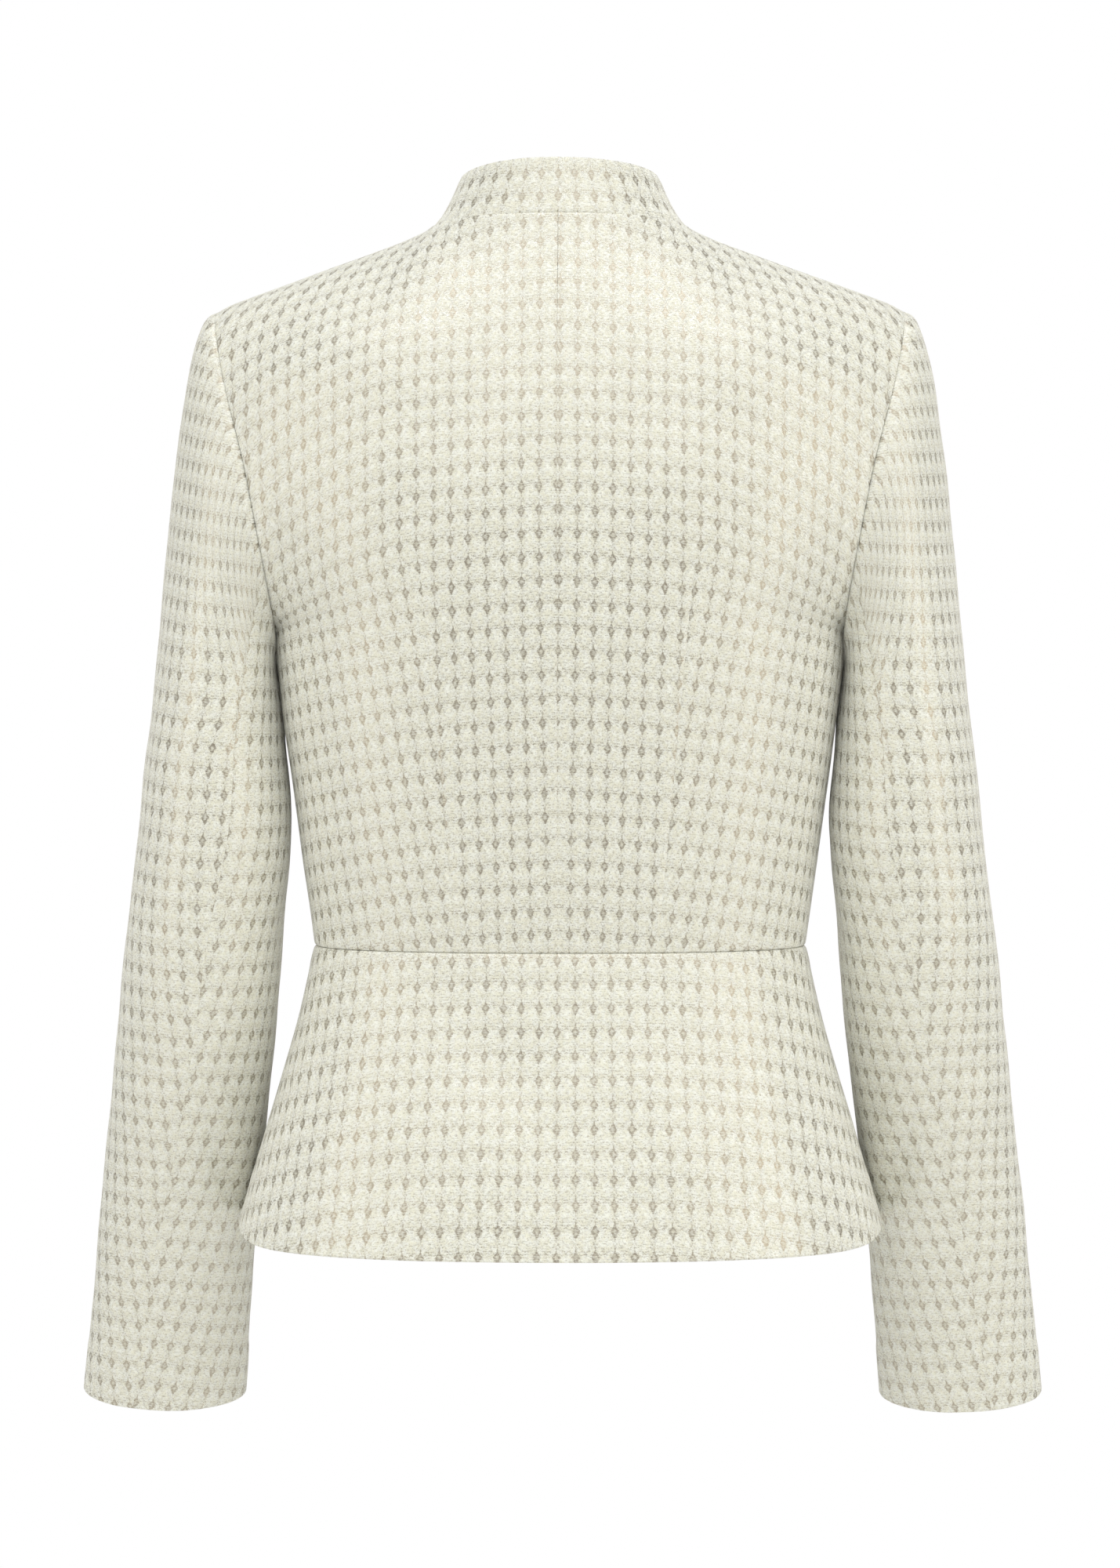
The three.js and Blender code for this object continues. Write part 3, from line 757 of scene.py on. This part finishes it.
# ==== The fronts ====
# Two plain mirrored halves of the same cloth. A dart in each runs up from the waist to below the
# bust, and their turned edges meet at the centre front over a hidden fastening.
FRONT_ROWS = table(ROW, [
    (WAIST_Z, -405, 103, 138.5, 0, 90, 0.03),
    (-330, -330, 114, 149, 0, 90, 0.03),
    (-240, -236, 125, 161, 0, 90, 0.03),
    (-210, -219, 125, 157, 33, 74, 0.02),
    (-176, -184, 119, 159, 49, 62, 0.01),
    (-140, -142, 105, 168, 50, 54, 0.01),
    (-104, -92, 85, 184, 37, 50, 0.01),
])
FRONT_NECK_LEAN = (0, 0.45, 0.89)
BUST = {"x": 84, "z": -226, "out": 9, "width_x": 42, "width_z": 56}
FRONT_DART = {"tip_x": 82, "tip_z": -262, "waist_x": 68, "intake": 28}
FRONT_DRAGS = table(RIDGE, [
    (92, -240, 132, -150, 15, 0.9),
    (60, -120, 80, -200, 18, 0.7),
    (30, -235, 34, -390, 14, -0.6),
    (112, -262, 100, -392, 13, 0.7),
])
# The rows of figures drop at this angle, from a distance off the centre front and after a run.
FRONT_DROP = {"degrees": 5, "beyond": 30, "run": 80}
FRONT_PHASE = -3.0
# The centre front edge is turned in and curls back, so that the opening shows as a line.
FRONT_FOLD = {"kind": "fold", "pad": 0.35, "turned": 35, "curl": 2.0}
front_surface, front_knots = bodice_half(FRONT_ROWS, -1, FRONT_NECK_LEAN, BUST)


def front_cut(grid):
    """The grain runs down the centre front edge and the rows of figures drop towards the sides."""
    across, up = grid_lengths(grid, 0), grid_lengths(grid, 1)
    slope = np.tan(np.radians(FRONT_DROP["degrees"]))
    drop = slope * ramp_up(across - FRONT_DROP["beyond"], FRONT_DROP["run"])
    return np.stack([across + 0.5 * COLUMN_PITCH, up + drop + FRONT_PHASE], -1)


front_grid, front_dart_column = bodice_grid(front_surface, front_knots, FRONT_DART, width=215, length=400)
front_dart, front_relief = dart_facts(front_grid, front_dart_column, FRONT_DART)
front_relief = front_relief + soft_ridges(front_grid[..., 0], front_grid[..., 2], FRONT_DRAGS)
front_relief += uneven(front_grid[..., 0], front_grid[..., 2], seed=5, size=45, height=0.16)
FRONT_EDGES = dict(
    BACK_EDGES,
    start=FRONT_FOLD,
    end=armhole_edge(front_grid[-1, :, 2]),
    high=neck_seam(front_grid[:, -1:, 0]),
)
for side in ("left", "right"):
    piece = cloth_piece(
        f"front_{side}_cloth", front_grid, front_cut(front_grid), FRONT_EDGES, front_relief,
        outward=1, mirrored=side == "right", dart=front_dart,
    )
    finish_cloth(piece, f"front_{side}", flat=(0.228, 0.445), area=0.0802)

# ==== The collar ====
# One standing band of the cloth, folded over along its top edge and at its two front ends, and
# sewn to the neck seam all the way round.
COLLAR_TOP = {
    "side_x": 55.5, "side_y": 3, "side_z": 26.5, "back_y": 54, "back_z": 32.5,
    "front_y": -62, "front_z": -43,
}
COLLAR_FLARE = 0.55
COLLAR_LENGTH = 405
COLLAR_HEIGHT = 31
# The rows of figures start this far above the neck seam.
COLLAR_PHASE = 3.0


def collar_ring(quarters, ring):
    """A point of a ring, from the centre front (0) by the wearer's left and the back, round to 4."""
    from_centre = np.where(quarters % 2 < 1, quarters % 1, 1 - quarters % 1)
    at_back = (quarters >= 1) & (quarters < 3)
    place = np.where(at_back[:, None], neck_ring(from_centre, ring, 1), neck_ring(from_centre, ring, -1))
    place[:, 0] *= np.where(quarters <= 2, 1, -1)
    return place


def collar_surface(quarters, height):
    base, top = collar_ring(quarters, NECK_RING), collar_ring(quarters, COLLAR_TOP)
    height = height[:, None]
    place = mix(base, top, height)
    spread = COLLAR_FLARE * np.abs(base[:, :1]) / NECK["side_x"] * height * (1 - height)
    upright = np.concatenate([top[:, :2], place[:, 2:]], -1)
    return mix(place, upright, spread)


def even_parameter(line, wanted):
    """Parameters 0 to 1 along a sampled line at which its length has the wanted shares."""
    length = np.concatenate([[0], np.cumsum(np.linalg.norm(np.diff(line, axis=0), axis=-1))])
    return np.interp(wanted, length / length[-1], np.linspace(0, 1, len(line)))


fine_quarters = np.linspace(0, 4, 4 * (FINE_COUNT - 1) + 1)
middle_line = collar_surface(fine_quarters, np.full_like(fine_quarters, 0.5))
quarters = 4 * even_parameter(middle_line, shares(COLLAR_LENGTH))
heights = shares(COLLAR_HEIGHT)
collar_grid = collar_surface(np.repeat(quarters, len(heights)), np.tile(heights, len(quarters)))
collar_grid = collar_grid.reshape(len(quarters), len(heights), 3)
collar_run = grid_lengths(collar_grid, 0)[:, len(heights) // 2]
collar_u = np.interp(2, quarters, collar_run) - collar_run
collar_v = grid_lengths(collar_grid, 1) + COLLAR_PHASE
collar_cut = np.stack(np.broadcast_arrays(collar_u[:, None], collar_v), -1)
collar_relief = uneven(collar_run[:, None], heights[None] * COLLAR_HEIGHT, seed=6, size=50, height=0.15)
COLLAR_END = {"kind": "fold", "pad": 0.2, "turned": 12, "curl": 1.6}
COLLAR_EDGES = {
    "start": COLLAR_END,
    "end": COLLAR_END,
    "low": neck_seam(collar_grid[:, :1, 0]),
    "high": {"kind": "fold", "pad": 0.25, "turned": 6},
}
collar = cloth_piece("collar_cloth", collar_grid, collar_cut, COLLAR_EDGES, collar_relief, outward=1)
finish_cloth(collar, "collar", flat=(0.435, 0.075), area=0.0131)

# ==== The sleeves ====
# Two-piece sleeves, each an upper and an under sleeve of the cloth, sewn together down the hind arm
# and the inner arm, set into the armhole with a little ease and turned up at the cuff.
# A ring is one level of the left sleeve. back_seam and front_seam are degrees from its outer edge.
SLEEVE_RINGS = table("x y z across deep swing level back_seam front_seam", [
    (194.2, 0, -290, 38.8, 58, 0, 0, 113, -128),
    (194.9, 1, -337, 43.2, 55, 0, 0, 107, -132),
    (201.4, -2, -399, 44.6, 50.5, 5, 0.5, 98, -136),
    (206.3, -10, -450, 45.2, 47, 10, 0.5, 93, -138),
    (212.8, -24, -503, 45, 43, 14, 1, 88, -140),
    (220, -42, -560, 45.4, 39.5, 15, 1, 80, -140),
    (225.8, -57, -615, 45.8, 36, 15, 1.5, 75, -140),
    (231.2, -71, -666, 46.8, 33.5, 15, 1.7, 71, -140),
])
ARMHOLE_BACK_SEAM = 135
ARMHOLE_FRONT_SEAM = -120
# The ring at the elbow.
ELBOW_RING = 2
# How the sleeve leaves the armhole, from the shoulder point (0) to the underarm (180).
SLEEVE_HEAD = table("at out back down", [
    (0, 66, 0, 14), (45, 60, 18, 36), (90, 46, 20, 66), (135, 16, 12, 74), (180, -6, 0, 60),
])


def armhole_points(degrees):
    share = np.abs(degrees) / 180
    ones = np.ones_like(share)
    by_back = back_surface(ones, mix(back_knots[-1], back_knots[CHEST_ROW], share))
    by_front = front_surface(ones, mix(front_knots[-1], front_knots[CHEST_ROW], share))
    return np.where((degrees >= 0)[:, None], by_back, by_front)


def ring_points(ring, degrees):
    angle = np.radians(degrees)
    swing, level = math.radians(ring["swing"]), math.radians(ring["level"])
    across, deep = ring["across"] * np.cos(angle), ring["deep"] * np.sin(angle)
    x = ring["x"] + across * math.cos(level)
    y = ring["y"] + deep * math.cos(swing)
    return np.stack([x, y, ring["z"] + across * math.sin(level) - deep * math.sin(swing)], -1)


def sleeve_chain(first, others):
    return np.array([armhole_points(first)] + [ring_points(r, d) for r, d in zip(SLEEVE_RINGS, others)])


half_turn = np.array([0.0, 90.0, 180.0])
sleeve_knots = row_knots(sleeve_chain(half_turn, [half_turn] * len(SLEEVE_RINGS)))


def sleeve_surface(share, levels, under):
    def degrees_at(back_seam, front_seam):
        if under:
            return mix(back_seam, front_seam + 360, share)
        return mix(front_seam, back_seam, share)

    head = degrees_at(ARMHOLE_BACK_SEAM, ARMHOLE_FRONT_SEAM)
    head = np.where(head > 180, head - 360, head)
    others = [degrees_at(ring["back_seam"], ring["front_seam"]) for ring in SLEEVE_RINGS]
    points = sleeve_chain(head, others)
    at = [row["at"] for row in SLEEVE_HEAD]
    out, back, down = (
        np.interp(np.abs(head), at, [row[key] for row in SLEEVE_HEAD]) for key in ("out", "back", "down")
    )
    leaving = np.stack([out, back * np.sign(head), -down], -1) / sleeve_knots[1]
    return smooth_columns(points, sleeve_knots, levels, leaving=leaving)


sleeve_levels = shares(sleeve_knots[-1]) * sleeve_knots[-1]
ELBOW_LEVEL = int(np.searchsorted(sleeve_levels, sleeve_knots[1 + ELBOW_RING]))


def sleeve_grid(under, width):
    share, levels = shares(width), sleeve_levels
    grid = sleeve_surface(np.repeat(share, len(levels)), np.tile(levels, len(share)), under)
    return grid.reshape(len(share), len(levels), 3)


# Soft folds, across from the hind-arm seam and down from the armhole.
UPPER_FOLDS = table(RIDGE, [
    (30, 60, 60, 190, 16, 0.9),
    (8, 300, 44, 372, 7, -1.3),
    (14, 322, 52, 396, 8, 1.1),
    (6, 352, 34, 420, 7, -0.9),
    (20, 430, 30, 600, 12, 0.6),
    (70, 250, 96, 420, 15, -0.7),
    (110, 330, 140, 400, 9, 0.9),
])
UNDER_FOLDS = table(RIDGE, [
    (10, 30, 22, 140, 10, 0.8),
    (70, 120, 40, 250, 13, -0.9),
    (12, 262, 62, 322, 8, 1.2),
    (10, 292, 60, 348, 7, -1.2),
    (8, 330, 58, 380, 8, 0.9),
    (30, 420, 26, 600, 10, 0.6),
])


# How much the sleeve head puffs up beside the armhole seam, and how much more below these depths.
HEAD_ROLL = {"least": 0.3, "more": 0.9, "between": (90, 160)}
# The grain starts to turn this far above the elbow, comes round over as long a run, and then leans.
SLEEVE_TURN = {"above": 60, "lean": 0.15}


def sleeve_edges(grid):
    """The sleeve head rolls over the armhole seam, most of all half way down the back."""
    z = grid[:, :1, 2]
    corner = 1 - smoothstep(-z, *SHOULDER_CORNER)
    roll = HEAD_ROLL["least"] + HEAD_ROLL["more"] * smoothstep(-z, *HEAD_ROLL["between"])
    valley = CORNER_VALLEY * corner
    return {
        "low": {"kind": "seam", "dip": 0.7, "width": 3, "pad": roll, "valley": valley, "open": 0.6},
        "high": {"kind": "fold", "pad": 0.45, "turned": 29},
        "start": {"kind": "seam", "dip": 0.15},
        "end": {"kind": "seam", "dip": 0.15},
    }


def sleeve_cut(grid, under, row_tilt):
    """Below the elbow both pieces turn off the grain, towards each other down the hind-arm seam."""
    across, down = grid_lengths(grid, 0), grid_lengths(grid, 1)
    away = across if under else across[len(across) // 2] - across
    below = down - down[:, ELBOW_LEVEL : ELBOW_LEVEL + 1]
    turn = SLEEVE_TURN["lean"] * ramp_up(below + SLEEVE_TURN["above"], SLEEVE_TURN["above"])
    return np.stack([away + turn, row_tilt * away - below], -1)


for kind, width, folds, flat, area in (
    ("upper", 175, UPPER_FOLDS, (0.198, 0.624), 0.1066),
    ("under", 110, UNDER_FOLDS, (0.133, 0.512), 0.0487),
):
    grid = sleeve_grid(kind == "under", width)
    across, down = grid_lengths(grid, 0), grid_lengths(grid, 1)
    if kind == "upper":
        across = across[-1:] - across
    for side, row_tilt, seed in (("left", -0.05, 7), ("right", 0.04, 8)):
        cut = sleeve_cut(grid, kind == "under", row_tilt if kind == "upper" else -row_tilt)
        relief = soft_ridges(across, down, folds) + uneven(across, down, seed, size=50, height=0.2)
        piece = cloth_piece(
            f"{kind}_sleeve_{side}_cloth", grid, cut, sleeve_edges(grid), relief,
            outward=-1, mirrored=side == "right",
        )
        finish_cloth(piece, f"{kind}_sleeve_{side}", flat=flat, area=area)

# ==== The peplum ====
# A flared skirt below the waist seam: the back in one shaped piece with no centre seam, the front
# in two halves that meet edge to edge, sewn together at the sides and turned up along the hem.
PEPLUM_BACK_ROWS = table(ROW + " lift", [
    (WAIST_Z, -405, 84, 138.5, 0, 90, 0.045, LIFT),
    (-456, -450, 94, 149, 0, 90, 0.045, LIFT),
    (-515, -506, 109, 165.5, 0, 90, 0.04, LIFT),
    (-572, -560, 121, 181, 0, 90, 0.035, 6),
])
PEPLUM_FRONT_ROWS = table(ROW, [
    (WAIST_Z, -405, 103, 138.5, 0, 90, 0.03),
    (-452, -450, 108, 149, 0, 90, 0.02),
    (-507, -506, 114, 165.5, 0, 90, 0.01),
    (-558, -560, 120, 181, 0, 90, 0),
])
PEPLUM_BACK_FOLDS = table(RIDGE, [
    (72, -425, -16, -520, 22, -1.8),
    (-30, -415, -70, -545, 20, 1.0),
    (96, -440, 130, -560, 20, 1.2),
    (-104, -430, -128, -565, 18, 1.2),
    (30, -470, 52, -572, 20, 1.0),
])
PEPLUM_FRONT_FOLDS = table(RIDGE, [
    (60, -420, 74, -556, 20, 1.2),
    (112, -430, 140, -558, 18, -1.0),
    (26, -440, 30, -550, 16, 0.7),
])
# The figures spread by this share for each millimetre below the waist. Their rows drop at an angle
# that grows to the full one between two distances from the centre.
PEPLUM_SPREAD = 0.0006
PEPLUM_DROP = {"degrees": 13, "between": (10, 170)}
PEPLUM_PHASE = 4.0
PEPLUM_EDGES = {
    "low": dict(WAIST_SEAM, pad=0.3),
    "high": {"kind": "fold", "pad": 0.45, "turned": 30},
    "start": {"kind": "seam"},
    "end": {"kind": "seam"},
}


def peplum_grid(rows, back, share, length):
    knots = row_knots(row_points(rows, np.array([0, 0.5, 1]), back))
    levels = mix(knots[0], knots[-1], shares(length))
    s = np.repeat(share, len(levels))
    place = smooth_columns(row_points(rows, np.abs(s), back), knots, np.tile(levels, len(share)))
    place[:, 0] *= np.where(s < 0, -1, 1)
    return place.reshape(len(share), len(levels), 3)


def peplum_cut(grid, centre):
    """The figures spread a little towards the hem and their rows drop towards the side seams."""
    across, down = grid_lengths(grid, 0), grid_lengths(grid, 1)
    out = across - across[centre]
    spread = 1 + PEPLUM_SPREAD * np.clip(WAIST_Z - grid[..., 2], 0, None)
    slope = PEPLUM_DROP["degrees"] * smoothstep(SLOPE_STEPS, *PEPLUM_DROP["between"])
    v = -down / spread**0.5 + dropped(np.abs(out), slope) + PEPLUM_PHASE
    return np.stack([out / spread, v], -1)


# Half the width of the back peplum and the width of a front one, and their lengths.
PEPLUM_WIDTH = {"back": 215, "front": 230}
PEPLUM_LENGTH = {"back": 165, "front": 155}
half_share = shares(PEPLUM_WIDTH["back"], fine_start=False)
back_share = np.concatenate([-half_share[:0:-1], half_share])
front_share = shares(PEPLUM_WIDTH["front"])
back_peplum = peplum_grid(PEPLUM_BACK_ROWS, 1, back_share, PEPLUM_LENGTH["back"])
front_peplum = peplum_grid(PEPLUM_FRONT_ROWS, -1, front_share, PEPLUM_LENGTH["front"])
for name, grid, centre, folds, flat, area in (
    ("peplum_back", back_peplum, len(half_share) - 1, PEPLUM_BACK_FOLDS, (0.473, 0.194), 0.0716),
    ("peplum_front", front_peplum, 0, PEPLUM_FRONT_FOLDS, (0.238, 0.163), 0.0332),
):
    relief = soft_ridges(grid[..., 0], grid[..., 2], folds)
    relief += uneven(grid[..., 0], grid[..., 2], seed=9, size=60, height=0.25)
    cut = peplum_cut(grid, centre)
    if name == "peplum_back":
        piece = cloth_piece("peplum_back_cloth", grid, cut, PEPLUM_EDGES, relief, outward=1)
        finish_cloth(piece, name, flat=flat, area=area)
        continue
    edges = dict(PEPLUM_EDGES, start=FRONT_FOLD)
    for side in ("left", "right"):
        piece = cloth_piece(
            f"{name}_{side}_cloth", grid, cut, edges, relief, outward=-1, mirrored=side == "right",
        )
        finish_cloth(piece, f"{name}_{side}", flat=flat, area=area)

# ==== The stage ====
# A plain pale floor where the wearer would stand, one long soft light high behind the jacket and one
# over it, a warm fill to each side, a wide weak one before it, and a white surround. In metres.
FLOOR = {"radius": 3.2, "z": -1.42, "sides": 96}
floor_mesh = bpy.data.meshes.new("floor")
turns = np.linspace(0, 2 * math.pi, FLOOR["sides"] + 1)[:-1]
ring = [(FLOOR["radius"] * math.cos(a), FLOOR["radius"] * math.sin(a), FLOOR["z"]) for a in turns]
floor_mesh.from_pydata(ring, [], [list(range(FLOOR["sides"]))])
floor = bpy.data.objects.new("floor", floor_mesh)
bpy.context.scene.collection.objects.link(floor)
paper = bpy.data.materials.new("pale_floor")
paper.use_nodes = True
paper_shader = paper.node_tree.nodes["Principled BSDF"]
paper_shader.inputs["Base Color"].default_value = (0.9, 0.9, 0.89, 1)
paper_shader.inputs["Roughness"].default_value = 0.8
floor_mesh.materials.append(paper)


WHITE = (1, 1, 1)
WARM = (1, 0.945, 0.83)
LIGHTS = table("name place aim width height power colour", [
    ("high_softbox", (-0.3, 3.5, 2.2), (0, 0, -0.25), 6.6, 1.5, 54, WHITE),
    ("top_softbox", (0.0, 0.9, 3.2), (0, 0, 0), 3.4, 1.4, 57, WHITE),
    ("left_fill", (2.7, 1.7, 0.1), (0, 0, -0.35), 1.6, 2.4, 15, WARM),
    ("right_fill", (-2.7, 1.7, 0.1), (0, 0, -0.35), 1.6, 2.4, 19, WARM),
    ("front_fill", (0.0, -3.2, 0.6), (0, 0, -0.35), 4.6, 3.0, 26, WHITE),
])


def soft_light(name, place, aim, width, height, power, colour):
    light = bpy.data.lights.new(name, "AREA")
    light.shape, light.size, light.size_y = "RECTANGLE", width, height
    light.energy, light.color = power, colour
    lamp = bpy.data.objects.new(name, light)
    lamp.location = place
    direction = Vector(np.array(aim) - np.array(place))
    lamp.rotation_euler = direction.to_track_quat("-Z", "Y").to_euler()
    bpy.context.scene.collection.objects.link(lamp)


for row in LIGHTS:
    soft_light(**row)

# The surround is white to look at. On the jacket it is dimmer and a little warm.
world = bpy.data.worlds.new("studio")
bpy.context.scene.world = world
world.use_nodes = True
sky = world.node_tree
sky.nodes.clear()
seen = sky.nodes.new("ShaderNodeBackground")
seen.inputs["Color"].default_value = (*WHITE, 1)
lit = sky.nodes.new("ShaderNodeBackground")
lit.inputs["Color"].default_value = (1, 0.995, 0.97, 1)
lit.inputs["Strength"].default_value = 0.52
path = sky.nodes.new("ShaderNodeLightPath")
choose = sky.nodes.new("ShaderNodeMixShader")
sky.links.new(path.outputs["Is Camera Ray"], choose.inputs[0])
sky.links.new(lit.outputs[0], choose.inputs[1])
sky.links.new(seen.outputs[0], choose.inputs[2])
sky.links.new(choose.outputs[0], sky.nodes.new("ShaderNodeOutputWorld").inputs[0])
bpy.context.scene.view_settings.view_transform = "Standard"

# The camera stands 2.5 metres behind the jacket, a little above its waist, with a long lens.
camera_data = bpy.data.cameras.new("camera")
camera_data.sensor_width = 36
camera_data.lens = 101.58
camera = bpy.data.objects.new("camera", camera_data)
camera.location = (-0.0436, 2.4996, -0.3145)
camera.rotation_euler = (math.radians(90), 0, math.radians(181))
bpy.context.scene.collection.objects.link(camera)
bpy.context.scene.camera = camera
